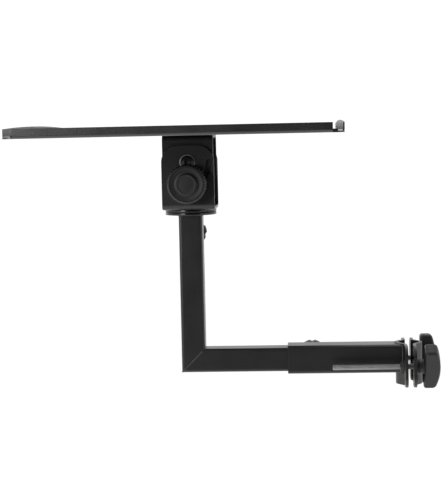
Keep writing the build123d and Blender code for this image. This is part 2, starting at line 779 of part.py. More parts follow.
with BuildPart() as tray_pan:
    with BuildSketch(head_plane(tray_z)):
        RectangleRounded(tray_length, tray_width, corner_tab_r)
    extrude(amount=tray_wall)
    # The flat tabs stay only at the corners: elsewhere the sheet bends up into a wall
    with BuildSketch(head_plane(tray_z)):
        Rectangle(2 * side_run, 2 * tray_width)
        Rectangle(2 * tray_length, 2 * end_run)
    extrude(amount=tray_wall, mode=Mode.SUBTRACT)
    with BuildSketch(Plane.YZ.offset(upright_x - side_run)):
        with BuildLine():
            FilletPolyline(
                (-side_mid_y, tray_z + side_wall_height),
                (-side_mid_y, tray_z + tray_wall / 2),
                (side_mid_y, tray_z + tray_wall / 2),
                (side_mid_y, tray_z + side_wall_height),
                radius=tray_bend_r,
            )
        trace(line_width=tray_wall)
    extrude(amount=2 * side_run)
    with BuildSketch(Plane((upright_x, -end_run, 0), x_dir=(-1, 0, 0), z_dir=(0, 1, 0))):
        with BuildLine():
            FilletPolyline(
                (-end_mid_x, tray_z + end_wall_height),
                (-end_mid_x, tray_z + tray_wall / 2),
                (end_mid_x, tray_z + tray_wall / 2),
                (end_mid_x, tray_z + end_wall_height),
                radius=tray_bend_r,
            )
        trace(line_width=tray_wall)
    extrude(amount=2 * end_run)
    end_corners = tray_pan.edges().filter_by(Axis.X).group_by(Axis.Z)[-1]
    fillet(end_corners, radius=end_wall_corner_r)
    # Each end wall is highest in the middle and falls to the side walls' height
    with BuildSketch(Plane.YZ.offset(tray_left_x)):
        with BuildLine():
            ThreePointArc(
                (-end_run, tray_z + side_wall_height),
                (0, tray_z + end_wall_height),
                (end_run, tray_z + side_wall_height),
            )
            Polyline(
                (end_run, tray_z + side_wall_height),
                (end_run, tray_z + 2 * end_wall_height),
                (-end_run, tray_z + 2 * end_wall_height),
                (-end_run, tray_z + side_wall_height),
            )
        make_face()
    extrude(amount=tray_length, mode=Mode.SUBTRACT)
    with BuildSketch(head_plane(tray_z)):
        with GridLocations(tray_bolt_spacing, tray_bolt_spacing, 2, 2):
            Circle(tray_bolt_r + hole_play)
    extrude(amount=tray_wall, mode=Mode.SUBTRACT)
tray_pan.part.label = "tray_pan"
export_step(tray_pan.part, "parts/tray_pan.step")

with BuildPart() as tray_mat:
    with BuildSketch(head_plane(bed_z)):
        RectangleRounded(tray_length - 2 * mat_margin, tray_width - 2 * mat_margin, mat_corner_r)
        with GridLocations(tray_bolt_spacing, tray_bolt_spacing, 2, 2):
            Circle(tray_bolt_head_r + mat_hole_play, mode=Mode.SUBTRACT)
    extrude(amount=mat_wall)
tray_mat.part.label = "tray_mat"
export_step(tray_mat.part, "parts/tray_mat.step")

# Low-headed bolts through the bed and the channel, with a nut under each
tray_nut_z = channel_top_z - tray_nut_height

with BuildPart() as tray_bolts:
    with BuildSketch(head_plane(bed_z)):
        with GridLocations(tray_bolt_spacing, tray_bolt_spacing, 2, 2):
            Circle(tray_bolt_head_r)
    extrude(amount=tray_bolt_head)
    with BuildSketch(head_plane(bed_z)):
        with GridLocations(tray_bolt_spacing, tray_bolt_spacing, 2, 2):
            Circle(tray_bolt_r)
    extrude(amount=tray_nut_z - bed_z - tray_wall)
    with BuildSketch(head_plane(bed_z + tray_bolt_head)):
        with GridLocations(tray_bolt_spacing, tray_bolt_spacing, 2, 2):
            hexagon(tray_bolt_socket)
    extrude(amount=-tray_socket_depth, mode=Mode.SUBTRACT)
tray_bolts.part.label = "tray_bolts"
export_step(tray_bolts.part, "parts/tray_bolts.step")

with BuildPart() as tray_nuts:
    with BuildSketch(head_plane(tray_nut_z)):
        with GridLocations(tray_bolt_spacing, tray_bolt_spacing, 2, 2):
            hexagon(tray_nut_width)
            Circle(tray_bolt_r + screw_fit, mode=Mode.SUBTRACT)
    extrude(amount=tray_nut_height)
tray_nuts.part.label = "tray_nuts"
export_step(tray_nuts.part, "parts/tray_nuts.step")
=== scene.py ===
import json
from math import asin, cos, pi, radians, sin, sqrt

import bmesh
import bpy
import numpy as np
from mathutils import Matrix, Vector


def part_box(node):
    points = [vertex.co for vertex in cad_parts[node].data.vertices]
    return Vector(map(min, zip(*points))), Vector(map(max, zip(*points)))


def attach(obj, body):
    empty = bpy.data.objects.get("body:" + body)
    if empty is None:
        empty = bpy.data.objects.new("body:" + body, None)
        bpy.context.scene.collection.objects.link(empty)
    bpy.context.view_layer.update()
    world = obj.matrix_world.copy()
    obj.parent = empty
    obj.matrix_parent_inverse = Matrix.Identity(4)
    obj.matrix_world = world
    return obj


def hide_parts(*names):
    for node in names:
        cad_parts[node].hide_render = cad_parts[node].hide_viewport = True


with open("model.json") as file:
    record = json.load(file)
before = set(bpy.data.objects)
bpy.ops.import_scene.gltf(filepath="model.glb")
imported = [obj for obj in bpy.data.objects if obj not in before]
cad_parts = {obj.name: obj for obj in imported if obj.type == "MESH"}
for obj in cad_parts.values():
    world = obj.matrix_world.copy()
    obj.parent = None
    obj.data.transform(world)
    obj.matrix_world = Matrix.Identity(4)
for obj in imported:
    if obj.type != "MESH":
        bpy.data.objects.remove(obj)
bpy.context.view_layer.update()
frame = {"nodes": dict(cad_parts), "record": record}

# A pole-clamp arm with a tilting tray. All sizes here are millimetres, and mm turns them to metres
mm = 0.001
record = frame["record"]
bodyOf = {node: body for body, nodes in record["behaviour"]["bodies"].items() for node in nodes}
slotOf = {part["node"]: part["material_slot"] for part in record["subparts"]}
joints = {joint["name"]: joint for joint in record["behaviour"]["joints"]}


def boxOf(node):
    # Lowest and highest corner of a CAD node, in millimetres
    low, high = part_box(node)
    return np.array(low) / mm, np.array(high) / mm


def anchor(joint):
    # The point that a hinge turns about, in millimetres
    return np.array(joints[joint]["pos_m"]) / mm


# The camera stands a little above the arm and looks slightly down and to the left
camera = {"place": (-102.9, -1547.4, 248.2), "left": 3.495, "down": 4.4, "roll": 1.231, "lens": 108.06}


def addCamera(look):
    # Rows of the turn: right, up and back, each worked out from the three angles
    left, down, roll = radians(look["left"]), radians(look["down"]), radians(look["roll"])
    ahead = Vector((-sin(left) * cos(down), cos(left) * cos(down), -sin(down)))
    level = Vector((cos(left), sin(left), 0))
    above = level.cross(ahead)
    right = level * cos(roll) - above * sin(roll)
    up = above * cos(roll) + level * sin(roll)
    data = bpy.data.cameras.new("camera")
    data.lens = look["lens"]
    data.sensor_width = 36
    data.clip_end = 60
    eye = bpy.data.objects.new("camera", data)
    turn = Matrix((right, up, -ahead)).transposed().to_4x4()
    eye.matrix_world = Matrix.Translation(Vector(look["place"]) * mm) @ turn
    bpy.context.scene.collection.objects.link(eye)
    bpy.context.scene.camera = eye


addCamera(camera)
bpy.context.scene.view_settings.view_transform = "Standard"
print("camera placed")


def colour(text):
    # An sRGB hex colour as linear values, with full alpha
    values = np.array([int(text[i:i + 2], 16) for i in (1, 3, 5)]) / 255
    linear = np.where(values > 0.04045, ((values + 0.055) / 1.055) ** 2.4, values / 12.92)
    return (*linear, 1.0)


def addNode(tree, kind, values=None, links=None, **options):
    # One shader node: its options, its socket values and what feeds its sockets
    node = tree.nodes.new(kind)
    for name, value in options.items():
        setattr(node, name, value)
    for name, value in (values or {}).items():
        node.inputs[name].default_value = value
    for name, socket in (links or {}).items():
        tree.links.new(socket, node.inputs[name])
    return node


def newMaterial(name, values):
    # A material with a Principled shader and the object coordinates
    material = bpy.data.materials.new(name)
    material.use_nodes = True
    tree = material.node_tree
    tree.nodes.clear()
    shader = addNode(tree, "ShaderNodeBsdfPrincipled", values)
    addNode(tree, "ShaderNodeOutputMaterial", links={"Surface": shader.outputs["BSDF"]})
    place = addNode(tree, "ShaderNodeTexCoord").outputs["Object"]
    return material, tree, shader, place


def perMetre(size):
    # Noise scale whose grains are about size millimetres wide
    return 1 / (size * mm)


def powderCoat(name, look):
    # Powder coat: melted polyester grains leave an orange peel of soft dimples with a finer grit on it
    material, tree, shader, place = newMaterial(name, {"IOR": look["ior"]})
    peel = addNode(tree, "ShaderNodeTexNoise", {"Scale": perMetre(look["peel"]), "Detail": 2.0}, {"Vector": place})
    grit = addNode(tree, "ShaderNodeTexVoronoi", {"Scale": perMetre(look["grit"])}, {"Vector": place})
    cloud = addNode(tree, "ShaderNodeTexNoise", {"Scale": perMetre(look["cloud"]), "Detail": 3.0}, {"Vector": place})
    speck = addNode(tree, "ShaderNodeMapRange", {"From Min": 0.0, "From Max": 0.7},
                    {"Value": grit.outputs["Distance"]})
    blend = addNode(tree, "ShaderNodeMath", links={0: speck.outputs["Result"], 1: cloud.outputs["Fac"]},
                    operation="MULTIPLY")
    tone = addNode(tree, "ShaderNodeMix", {6: colour(look["dark"]), 7: colour(look["light"])},
                   {0: blend.outputs[0]}, data_type="RGBA")
    tree.links.new(tone.outputs[2], shader.inputs["Base Color"])
    gloss = addNode(tree, "ShaderNodeMapRange", {"To Min": look["rough"][0], "To Max": look["rough"][1]},
                    {"Value": cloud.outputs["Fac"]})
    tree.links.new(gloss.outputs["Result"], shader.inputs["Roughness"])
    dimples = addNode(tree, "ShaderNodeBump", {"Strength": look["bump"], "Distance": look["depth"] * mm},
                      {"Height": peel.outputs["Fac"]})
    grains = addNode(tree, "ShaderNodeBump", {"Strength": look["bump"], "Distance": look["depth"] * mm / 2},
                     {"Height": grit.outputs["Distance"], "Normal": dimples.outputs["Normal"]})
    tree.links.new(grains.outputs["Normal"], shader.inputs["Normal"])
    return material


def platedSteel(name, look):
    # Zinc or oxide on turned steel: faint cloudy patches and fine lines round the part, sharp bright glints
    material, tree, shader, place = newMaterial(name, {"Metallic": look["metallic"]})
    cloud = addNode(tree, "ShaderNodeTexNoise", {"Scale": perMetre(look["cloud"]), "Detail": 4.0}, {"Vector": place})
    lines = addNode(tree, "ShaderNodeTexNoise", {"Scale": perMetre(look["line"]), "Detail": 1.0}, {"Vector": place})
    tone = addNode(tree, "ShaderNodeMix", {6: colour(look["dark"]), 7: colour(look["light"])},
                   {0: cloud.outputs["Fac"]}, data_type="RGBA")
    tree.links.new(tone.outputs[2], shader.inputs["Base Color"])
    gloss = addNode(tree, "ShaderNodeMapRange", {"To Min": look["rough"][0], "To Max": look["rough"][1]},
                    {"Value": cloud.outputs["Fac"]})
    tree.links.new(gloss.outputs["Result"], shader.inputs["Roughness"])
    bump = addNode(tree, "ShaderNodeBump", {"Strength": look["bump"], "Distance": look["depth"] * mm},
                   {"Height": lines.outputs["Fac"]})
    tree.links.new(bump.outputs["Normal"], shader.inputs["Normal"])
    return material


def mouldedPlastic(name, look):
    # Moulded nylon or acetal: spark-eroded grain from the mould, slightly shinier where flow lines cross it
    material, tree, shader, place = newMaterial(name, {"IOR": look["ior"]})
    grain = addNode(tree, "ShaderNodeTexVoronoi", {"Scale": perMetre(look["grain"])}, {"Vector": place})
    flow = addNode(tree, "ShaderNodeTexNoise", {"Scale": perMetre(look["flow"]), "Detail": 2.0, "Distortion": 1.5},
                   {"Vector": place})
    tone = addNode(tree, "ShaderNodeMix", {6: colour(look["dark"]), 7: colour(look["light"])},
                   {0: flow.outputs["Fac"]}, data_type="RGBA")
    tree.links.new(tone.outputs[2], shader.inputs["Base Color"])
    gloss = addNode(tree, "ShaderNodeMapRange", {"To Min": look["rough"][0], "To Max": look["rough"][1]},
                    {"Value": flow.outputs["Fac"]})
    tree.links.new(gloss.outputs["Result"], shader.inputs["Roughness"])
    bump = addNode(tree, "ShaderNodeBump", {"Strength": look["bump"], "Distance": look["depth"] * mm},
                   {"Height": grain.outputs["Distance"]})
    tree.links.new(bump.outputs["Normal"], shader.inputs["Normal"])
    return material


# Grit and grain are drawn coarser than they are, 0.6 mm and up, because finer ones vanish at this distance.
# IOR and roughness start at each finish's usual values and are then set for how dark and sharp its
# reflections look. Textbook IOR is about 1.5 for the coats and 1.53 for the nylon knobs
looks = {
    "black_powder_coat": powderCoat("black polyester powder coat", {
        "dark": "#0b0b0c", "light": "#18181a", "ior": 1.47, "rough": (0.28, 0.4), "bump": 0.5, "depth": 0.12,
        "peel": 1.6, "grit": 0.7, "cloud": 35.0}),
    "black_oxide_steel": platedSteel("black oxide steel", {
        "dark": "#1b1b1d", "light": "#2c2c2f", "metallic": 0.75, "rough": (0.3, 0.46), "bump": 0.25,
        "depth": 0.05, "cloud": 9.0, "line": 0.8}),
    "zinc_steel": platedSteel("bright zinc-plated steel", {
        "dark": "#7d7f7e", "light": "#a6a7a4", "metallic": 1.0, "rough": (0.3, 0.42), "bump": 0.15,
        "depth": 0.04, "cloud": 7.0, "line": 0.7}),
    "black_plastic": mouldedPlastic("black glass-filled nylon", {
        "dark": "#0a0a0b", "light": "#111112", "ior": 1.42, "rough": (0.4, 0.54), "bump": 0.4, "depth": 0.07,
        "grain": 0.6, "flow": 14.0}),
    "bush_plastic": mouldedPlastic("natural nylon", {
        "dark": "#d8d4c6", "light": "#e6e3d8", "ior": 1.53, "rough": (0.4, 0.52), "bump": 0.2, "depth": 0.04,
        "grain": 0.8, "flow": 9.0}),
    "mat_rubber": mouldedPlastic("black nitrile rubber", {
        "dark": "#141415", "light": "#1d1d1e", "ior": 1.5, "rough": (0.66, 0.82), "bump": 0.6, "depth": 0.15,
        "grain": 0.9, "flow": 25.0}),
}
# Sprayed enamel on the two discs: sharper reflections and a fainter peel than the powder coat
smoothPaint = powderCoat("black gloss enamel", {
    "dark": "#0a0a0b", "light": "#121213", "ior": 1.5, "rough": (0.16, 0.26), "bump": 0.25, "depth": 0.04,
    "peel": 2.5, "grit": 0.9, "cloud": 30.0})
# The tray's coat has a stronger grit. Its tones are a little lighter than the powder coat's, painted light that
# stands in for the light along its walls, and its higher IOR makes the walls reflect more
trayCoatLitCopy = powderCoat("black textured powder coat lit copy", {
    "dark": "#0c0c0d", "light": "#1c1c1e", "ior": 1.64, "rough": (0.26, 0.38), "bump": 0.6, "depth": 0.16,
    "peel": 1.3, "grit": 0.8, "cloud": 30.0})
print("materials made")


def gridFaces(rings, points, ringLoop=False, caps=False):
    # Quads between neighbouring rings of equal loops, with the first and last loop filled if caps is set
    ring = np.arange(rings if ringLoop else rings - 1)[:, None]
    point = np.arange(points)[None, :]
    here, there = ring * points, (ring + 1) % rings * points
    beside = (point + 1) % points
    quads = np.stack([here + point, here + beside, there + beside, there + point], -1).reshape(-1, 4).tolist()
    if caps:
        quads += [list(range(points)), list(range((rings - 1) * points, rings * points))]
    return quads


def makeMesh(name, shells, crease):
    # Shells of points and faces become one mesh with outward faces, sharp where it turns more than the crease
    points, faces, count = [], [], 0
    for shellPoints, shellFaces in shells:
        points.append(np.asarray(shellPoints).reshape(-1, 3))
        faces += [[count + corner for corner in face] for face in shellFaces]
        count += len(points[-1])
    mesh = bpy.data.meshes.new(name)
    mesh.from_pydata((np.concatenate(points) * mm).tolist(), [], faces)
    tidy = bmesh.new()
    tidy.from_mesh(mesh)
    bmesh.ops.recalc_face_normals(tidy, faces=tidy.faces)
    tidy.to_mesh(mesh)
    tidy.free()
    mesh.shade_smooth()
    mesh.set_sharp_from_angle(angle=radians(crease))
    return mesh


def addPiece(name, shells, like, nodes=(), look=None, crease=38):
    # A new piece on the body of the CAD node that it is like
    piece = settle(name, makeMesh(name, shells, crease), like, nodes, look)
    shadeFlats(piece)
    return piece


def shadeFlats(piece):
    # Big flat faces keep flat shading beside their bends and rounded edges
    flat = piece.modifiers.new("flat", "WEIGHTED_NORMAL")
    flat.keep_sharp = True


def drill(piece, spot, radius, near, far, crease=38):
    # Takes a round hole out of a tube's wall: a cylinder from near to far along Y is cut away
    bit = makeMesh("drill", [lathe([(radius, near), (radius, far)], spot, alongY, 48)], crease)
    tool = bpy.data.objects.new("drill", bit)
    bpy.context.scene.collection.objects.link(tool)
    piece.modifiers.clear()
    cut = piece.modifiers.new("hole", "BOOLEAN")
    cut.object = tool
    cut.solver = "EXACT"
    drilled = bpy.data.meshes.new_from_object(piece.evaluated_get(bpy.context.evaluated_depsgraph_get()))
    piece.modifiers.clear()
    piece.data = drilled
    drilled.shade_smooth()
    drilled.set_sharp_from_angle(angle=radians(crease))
    bpy.data.objects.remove(tool)
    shadeFlats(piece)


def settle(name, mesh, like, nodes, look=None):
    # Puts a finished mesh in the scene with its material (the given look, or its CAD node's slot's), on that node's
    # body, and hides the CAD nodes that it stands for
    mesh.materials.clear()
    mesh.materials.append(look or looks[slotOf[like]])
    piece = bpy.data.objects.new(name, mesh)
    bpy.context.scene.collection.objects.link(piece)
    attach(piece, bodyOf[like])
    if nodes:
        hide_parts(*nodes)
    return piece


def roundedCopy(node, radius, look=None):
    # A merged copy of a CAD sheet piece, its triangles rejoined into flat faces and its edges rounded
    mesh = frame["nodes"][node].data.copy()
    tidy = bmesh.new()
    tidy.from_mesh(mesh)
    bmesh.ops.remove_doubles(tidy, verts=tidy.verts, dist=0.002 * mm)
    bmesh.ops.dissolve_limit(tidy, angle_limit=radians(0.4), verts=tidy.verts, edges=tidy.edges)
    tidy.to_mesh(mesh)
    tidy.free()
    mesh.shade_smooth()
    piece = settle(node + "_rounded", mesh, node, [node], look)
    bevel = piece.modifiers.new("edge", "BEVEL")
    bevel.width = radius * mm
    bevel.segments = 2
    bevel.limit_method = "ANGLE"
    bevel.angle_limit = radians(35)
    shadeFlats(piece)
    return piece


def lathe(profile, centre, axis, turns=72, shape=None, ringLoop=False):
    # Each profile point (radius, height) goes round the axis; shape(radius, angle, height) can pull the
    # circle into flutes, lobes or a hexagon. Ends that aren't closed on themselves get a flat cap
    profile = np.asarray(profile, float)
    axis = np.asarray(axis, float)
    side = np.array((0.0, 0.0, 1.0)) if abs(axis[2]) < 0.5 else np.array((1.0, 0.0, 0.0))
    across = np.cross(axis, side)
    angle = np.linspace(0, 2 * pi, turns, endpoint=False)[None, :]
    radius = profile[:, :1] + 0 * angle
    height = profile[:, 1:] + 0 * angle
    if shape:
        radius = shape(radius, angle, height)
    points = (np.asarray(centre, float) + height[..., None] * axis
              + (radius * np.cos(angle))[..., None] * side + (radius * np.sin(angle))[..., None] * across)
    return points, gridFaces(len(profile), turns, ringLoop, not ringLoop)


def arcProfile(centre, radius, start, end, steps=5):
    # Points (radius, height) along an arc between two angles in degrees
    angle = np.radians(np.linspace(start, end, steps))
    return np.stack([centre[0] + radius * np.cos(angle), centre[1] + radius * np.sin(angle)], 1)


coneSlope = 1.6    # how fast a turned cone takes a hexagon's corners in, across for each mm along


def hexReach(angle):
    # How far a hexagon's side is from its middle, over its half width across flats
    return 1 / np.cos((angle + pi / 6) % (pi / 3) - pi / 6)


def hexNut(centre, axis, width, bore, height):
    # A hexagon whose corners a cone has turned down at both ends, on a ring profile round its bore
    ends = np.array((0.0, 0.12, 0.3, 0.55, 0.9))
    sides = np.concatenate([ends, height - ends[::-1]])
    profile = [(bore, 0.25)] + [(bore + 0.3, 0.0)] + [(width, side) for side in sides]
    profile += [(bore + 0.3, height), (bore, height - 0.25)]

    def shape(radius, angle, along):
        cone = width / 2 * 0.97 + coneSlope * np.minimum(along, height - along)
        return np.where(radius > width * 0.9, np.minimum(hexReach(angle) * width / 2, cone), radius)

    return lathe(profile, centre, axis, 72, shape, ringLoop=True)


def washer(centre, axis, outer, bore, height):
    # A ring with a punched washer's soft outer edge
    soft = min(0.35, height / 3)
    profile = [(bore, 0.1), (bore + 0.1, 0)]
    profile += [*arcProfile((outer - soft, soft), soft, -90, 0)]
    profile += [*arcProfile((outer - soft, height - soft), soft, 0, 90)]
    profile += [(bore + 0.1, height), (bore, height - 0.1)]
    return lathe(profile, centre, axis, 96, ringLoop=True)


def socketHead(centre, axis, radius, height, dome, socket, depth):
    # A domed head whose middle is a hexagon socket: the last rings swap the circle for a hexagon
    rim = socket / 2 * 1.25
    top = sqrt(max(dome ** 2 - rim ** 2, 0)) - sqrt(max(dome ** 2 - radius ** 2, 0))
    outside = np.linspace(radius - 0.15, rim, 9)
    rise = (np.sqrt(dome ** 2 - outside ** 2) - sqrt(dome ** 2 - (radius - 0.15) ** 2)) / top
    foot = height * 0.3
    profile = [(radius - 0.1, 0), (radius, 0.12), (radius, foot - 0.1)]
    profile += list(np.stack([outside, foot + rise * (height - foot)], 1))
    profile += [(socket / 2 + 0.12, height), (socket / 2, height - 0.15), (socket / 2, height - depth),
                (socket / 4, height - depth - 0.3)]

    def shape(size, angle, along):
        return np.where(size < rim - 0.05, size * hexReach(angle), size)

    return lathe(profile, centre, axis, 72, shape)


def threadedRod(centre, axis, radius, pitch, start, end, sides=24, steps=6):
    # The radius falls and rises once every pitch, and the groove moves one pitch along at each turn
    depth = 0.55 * pitch
    heights = np.linspace(start, end, int((end - start) / pitch * steps))

    def shape(size, angle, along):
        phase = (along / pitch - angle / (2 * pi)) % 1
        groove = depth * np.clip(np.abs(2 * phase - 1) * 1.25 - 0.12, 0, 1)
        chamfer = np.minimum(along - start, end - along)
        return np.minimum(radius - groove, radius - 0.9 + chamfer)

    return lathe([(radius, height) for height in heights], centre, axis, sides, shape)


def squareLoop(size, corner, steps=6):
    # Rounded square: each corner's centre plus its radius along the angle
    angle = np.concatenate([np.linspace(0, pi / 2, steps) + quarter * pi / 2 for quarter in range(4)])
    middle = size / 2 - corner
    signs = np.repeat([[1, 1], [-1, 1], [-1, -1], [1, -1]], steps, 0)
    return signs * middle + corner * np.stack([np.cos(angle), np.sin(angle)], 1)


def squareTube(look, place, start, end):
    # Outer and inner rounded squares joined at both ends over a soft edge. place turns across and along
    # values into points, and start and end give each end's distance along for points of the section
    size, wall, corner, soft = look["size"], look["wall"], look["corner"], look["soft"]
    edge = [(0, soft), (0.3 * soft, 0.3 * soft), (soft, 0)]
    inner = size - 2 * wall
    rings = [(size - 2 * inset, corner - inset, start, along) for inset, along in edge[::-1]]
    rings += [(size - 2 * inset, corner - inset, end, -along) for inset, along in edge]
    rings += [(inner + 2 * inset, corner - wall + inset, end, -along) for inset, along in edge[::-1]]
    rings += [(inner + 2 * inset, corner - wall + inset, start, along) for inset, along in edge]
    loops = []
    for width, bend, finishAt, along in rings:
        loop = squareLoop(width, bend)
        loops.append(place(loop, finishAt(loop) + along))
    return np.array(loops), gridFaces(len(rings), len(loops[0]), ringLoop=True)


def evenPath(path, spacing):
    # A closed path's points moved to even distances along it
    closed = np.vstack([path, path[:1]])
    travelled = np.concatenate([[0], np.cumsum(np.linalg.norm(np.diff(closed, axis=0), axis=1))])
    stops = np.linspace(0, travelled[-1], int(travelled[-1] / spacing), endpoint=False)
    return np.stack([np.interp(stops, travelled, closed[:, i]) for i in range(3)], 1)


def weldBead(path, normal, radius, ripple=1.7, sides=10):
    # A tube along a closed path; its radius swells once every ripple, as the scales of a weld do
    path = evenPath(np.asarray(path, float), ripple / 6)
    count = len(path)
    scales = max(round(count / 6), 3)
    along = np.roll(path, -1, 0) - np.roll(path, 1, 0)
    along /= np.linalg.norm(along, axis=1)[:, None]
    normal = np.asarray(normal, float) / np.linalg.norm(normal)
    beside = np.cross(along, normal)
    beside /= np.linalg.norm(beside, axis=1)[:, None]
    swell = radius * (0.86 + 0.14 * np.abs(np.sin(np.arange(count) * pi * scales / count)))[:, None, None]
    angle = np.linspace(0, 2 * pi, sides, endpoint=False)[None, :, None]
    points = path[:, None] + swell * (np.cos(angle) * beside[:, None] + np.sin(angle) * normal)
    return points, gridFaces(count, sides, ringLoop=True)


def circlePath(centre, radius, side, across):
    # A circle round centre in the plane of two unit directions
    angle = np.linspace(0, 2 * pi, 120, endpoint=False)[:, None]
    return centre + radius * (np.cos(angle) * np.asarray(side) + np.sin(angle) * np.asarray(across))


print("shape functions ready")

# Clamp: two bent plates with soft edges, the nuts welded to one, and washers on the other
clamp = {"edge": 0.5, "wrap": 33.0, "nutWidth": 10.0, "bore": 3.05, "bead": 0.9, "beadAt": 0.55, "washerR": 7.0}

for jawNode in ("fixed_jaw", "moving_jaw"):
    roundedCopy(jawNode, clamp["edge"])
nutLow, nutHigh = boxOf("clamp_nuts")
washerLow, washerHigh = boxOf("clamp_washers")
screwSpots = [anchor("clamp_turn_near") * (0, 1, 1), anchor("clamp_turn_far") * (0, 1, 1)]
alongX, alongY, alongZ = np.eye(3)
addPiece("clamp_nuts_turned", [
    hexNut(spot + nutLow[0] * alongX, alongX, clamp["nutWidth"], clamp["bore"], nutHigh[0] - nutLow[0])
    for spot in screwSpots], "clamp_nuts", ["clamp_nuts"])
addPiece("clamp_nut_welds", [
    weldBead(circlePath(spot + nutHigh[0] * alongX, clamp["nutWidth"] * clamp["beadAt"], alongY, alongZ),
             alongX, clamp["bead"])
    for spot in screwSpots], "clamp_nuts")
addPiece("clamp_washers_pressed", [
    washer(spot + washerLow[0] * alongX, alongX, clamp["washerR"], clamp["bore"] + 0.25, washerHigh[0] - washerLow[0])
    for spot in screwSpots], "clamp_washers", ["clamp_washers"])

# Clamp screws: zinc-plated M6 rod, threaded from end to end
rod = {"radius": 3.0, "pitch": 1.0}
for spot, side in zip(screwSpots, ("near", "far")):
    low, high = boxOf("clamp_screw_" + side)
    addPiece("clamp_thread_" + side, [threadedRod(spot, alongX, rod["radius"], rod["pitch"], low[0], high[0])],
             "clamp_screw_" + side, ["clamp_screw_" + side], crease=85)

# Wing knobs: a flat back, square ends and a domed front, moulded in one with a round hub
wing = {"span": 52.0, "tip": 12.6, "height": 17.0, "depth": 16.0, "corner": 5.0, "backCorner": 3.0, "edge": 2.8,
        "seam": 0.12, "hubR": 7.5, "turns": {"near": 36.0, "far": 0.0}}


def wingKnob(look, spot, hubX, backX, turn):
    # The outline is met by its normal's angle: at each angle it is an arc's centre plus its radius along the
    # normal, so taking a length off every radius gives the same outline further in
    half, corner, heel = look["span"] / 2, look["corner"], look["backCorner"]
    sag = look["height"] - look["tip"]
    front = (half ** 2 + sag ** 2) / (2 * sag)
    middle = look["height"] - front
    tipAngle = asin((half - corner) / (front - corner))
    tipX = middle + sqrt((front - corner) ** 2 - (half - corner) ** 2)
    arcs = [(np.linspace(-tipAngle, tipAngle, 25), middle, 0, front),
            (np.linspace(tipAngle, pi / 2, 7), tipX, half - corner, corner),
            (np.linspace(pi / 2, pi, 7), heel, half - heel, heel),
            (np.linspace(pi, 1.5 * pi, 7), heel, heel - half, heel),
            (np.linspace(1.5 * pi, 2 * pi - tipAngle, 7), tipX, corner - half, corner)]
    angle = np.concatenate([arc[0] for arc in arcs])
    centre = np.concatenate([np.tile((arc[1], arc[2]), (len(arc[0]), 1)) for arc in arcs])
    radius = np.concatenate([np.full(len(arc[0]), arc[3]) for arc in arcs])
    # Across the depth the outline draws in round both edges and stands out in a thin seam in the middle
    bend = np.radians(np.linspace(0, 90, 6))
    edge, flat = look["edge"], look["depth"] / 2 - look["edge"]
    inset = np.concatenate([edge * (1 - np.sin(bend)), [0], [0]]) + look["seam"]
    depth = np.concatenate([-flat - edge * np.cos(bend), [-flat + 1], [-0.3]])
    inset = np.concatenate([inset, [0], inset[::-1]])
    depth = np.concatenate([depth, [0], -depth[::-1]])
    outward = np.stack([np.cos(angle), np.sin(angle)], 1)
    loop = centre[None] + (radius[None, :, None] - inset[:, None, None]) * outward[None]
    tilt = radians(turn)
    long, broad = np.array((0, -sin(tilt), cos(tilt))), np.array((0, cos(tilt), sin(tilt)))
    points = (spot + (backX + loop[..., :1]) * alongX + loop[..., 1:] * long + depth[:, None, None] * broad)
    hub = [(look["hubR"] - 0.8, hubX), *arcProfile((look["hubR"] - 0.7, hubX + 0.7), 0.7, -70, 0),
           (look["hubR"], backX - 0.8), *arcProfile((look["hubR"] + 0.8, backX - 0.8), 0.8, 180, 100)]
    hub.append((look["hubR"] + 0.5, backX + 0.6))
    return [(points, gridFaces(len(inset), len(angle), caps=True)), lathe(hub, spot, alongX)]


for spot, side in zip(screwSpots, ("near", "far")):
    low, high = boxOf("wing_knob_" + side)
    backX = high[0] - wing["height"]
    addPiece("wing_moulded_" + side, wingKnob(wing, spot, low[0], backX, wing["turns"][side]),
             "wing_knob_" + side, ["wing_knob_" + side])
print("clamp made")

# Sleeve, beam and upright: square steel tubes with rounded corners
tube = {"size": 25.0, "wall": 2.0, "corner": 3.0, "soft": 0.4}
sleeve = {"size": 30.0, "wall": 2.0, "corner": 3.4, "soft": 0.5, "jawBack": 14.0, "clear": 0.3}
beads = {"sleeve": 1.5, "mitre": 1.0, "disc": 1.3, "boss": 1.2}
sleeveLow, sleeveHigh = boxOf("sleeve_tube")
beamLow, beamHigh = boxOf("beam_tube")
uprightLow, uprightHigh = boxOf("upright_tube")
armZ = (sleeveLow[2] + sleeveHigh[2]) / 2
uprightX = (uprightLow[0] + uprightHigh[0]) / 2
wrap = radians(clamp["wrap"])


def alongTheArm(loop, x):
    # Section of a tube that lies along X: across values are Y and Z
    return np.stack([x + 0 * loop[:, 0], loop[:, 0], armZ + loop[:, 1]], 1)


def upTheUpright(loop, z):
    # Section of the tube that stands along Z: across values are X and Y
    return np.stack([uprightX + loop[:, 0], loop[:, 1], z + 0 * loop[:, 0]], 1)


def jawEnd(loop):
    # Where the sleeve meets the fixed jaw: on its sloping legs, and clear of its round seat in the middle
    legs = -(sleeve["jawBack"] - np.abs(loop[:, 0]) * sin(wrap)) / cos(wrap)
    return np.maximum(legs, -sleeve["jawBack"] - sleeve["clear"])


def flatAt(value):
    # An end square to the tube
    return lambda loop: value + 0 * loop[:, 0]


sleeveTube = addPiece("sleeve_square_tube", [squareTube(sleeve, alongTheArm, flatAt(sleeveLow[0]), jawEnd)],
         "sleeve_tube", ["sleeve_tube"])
# The mitre is a plane at 45 degrees through the elbow's outer corner
addPiece("beam_square_tube", [squareTube(
    tube, alongTheArm, lambda loop: beamLow[0] + loop[:, 1] + tube["size"] / 2, flatAt(beamHigh[0]))],
    "beam_tube", ["beam_tube"])
uprightTube = addPiece("upright_square_tube", [squareTube(
    tube, upTheUpright, lambda loop: uprightLow[2] + loop[:, 0] + tube["size"] / 2, flatAt(uprightHigh[2]))],
    "upright_tube", ["upright_tube"])


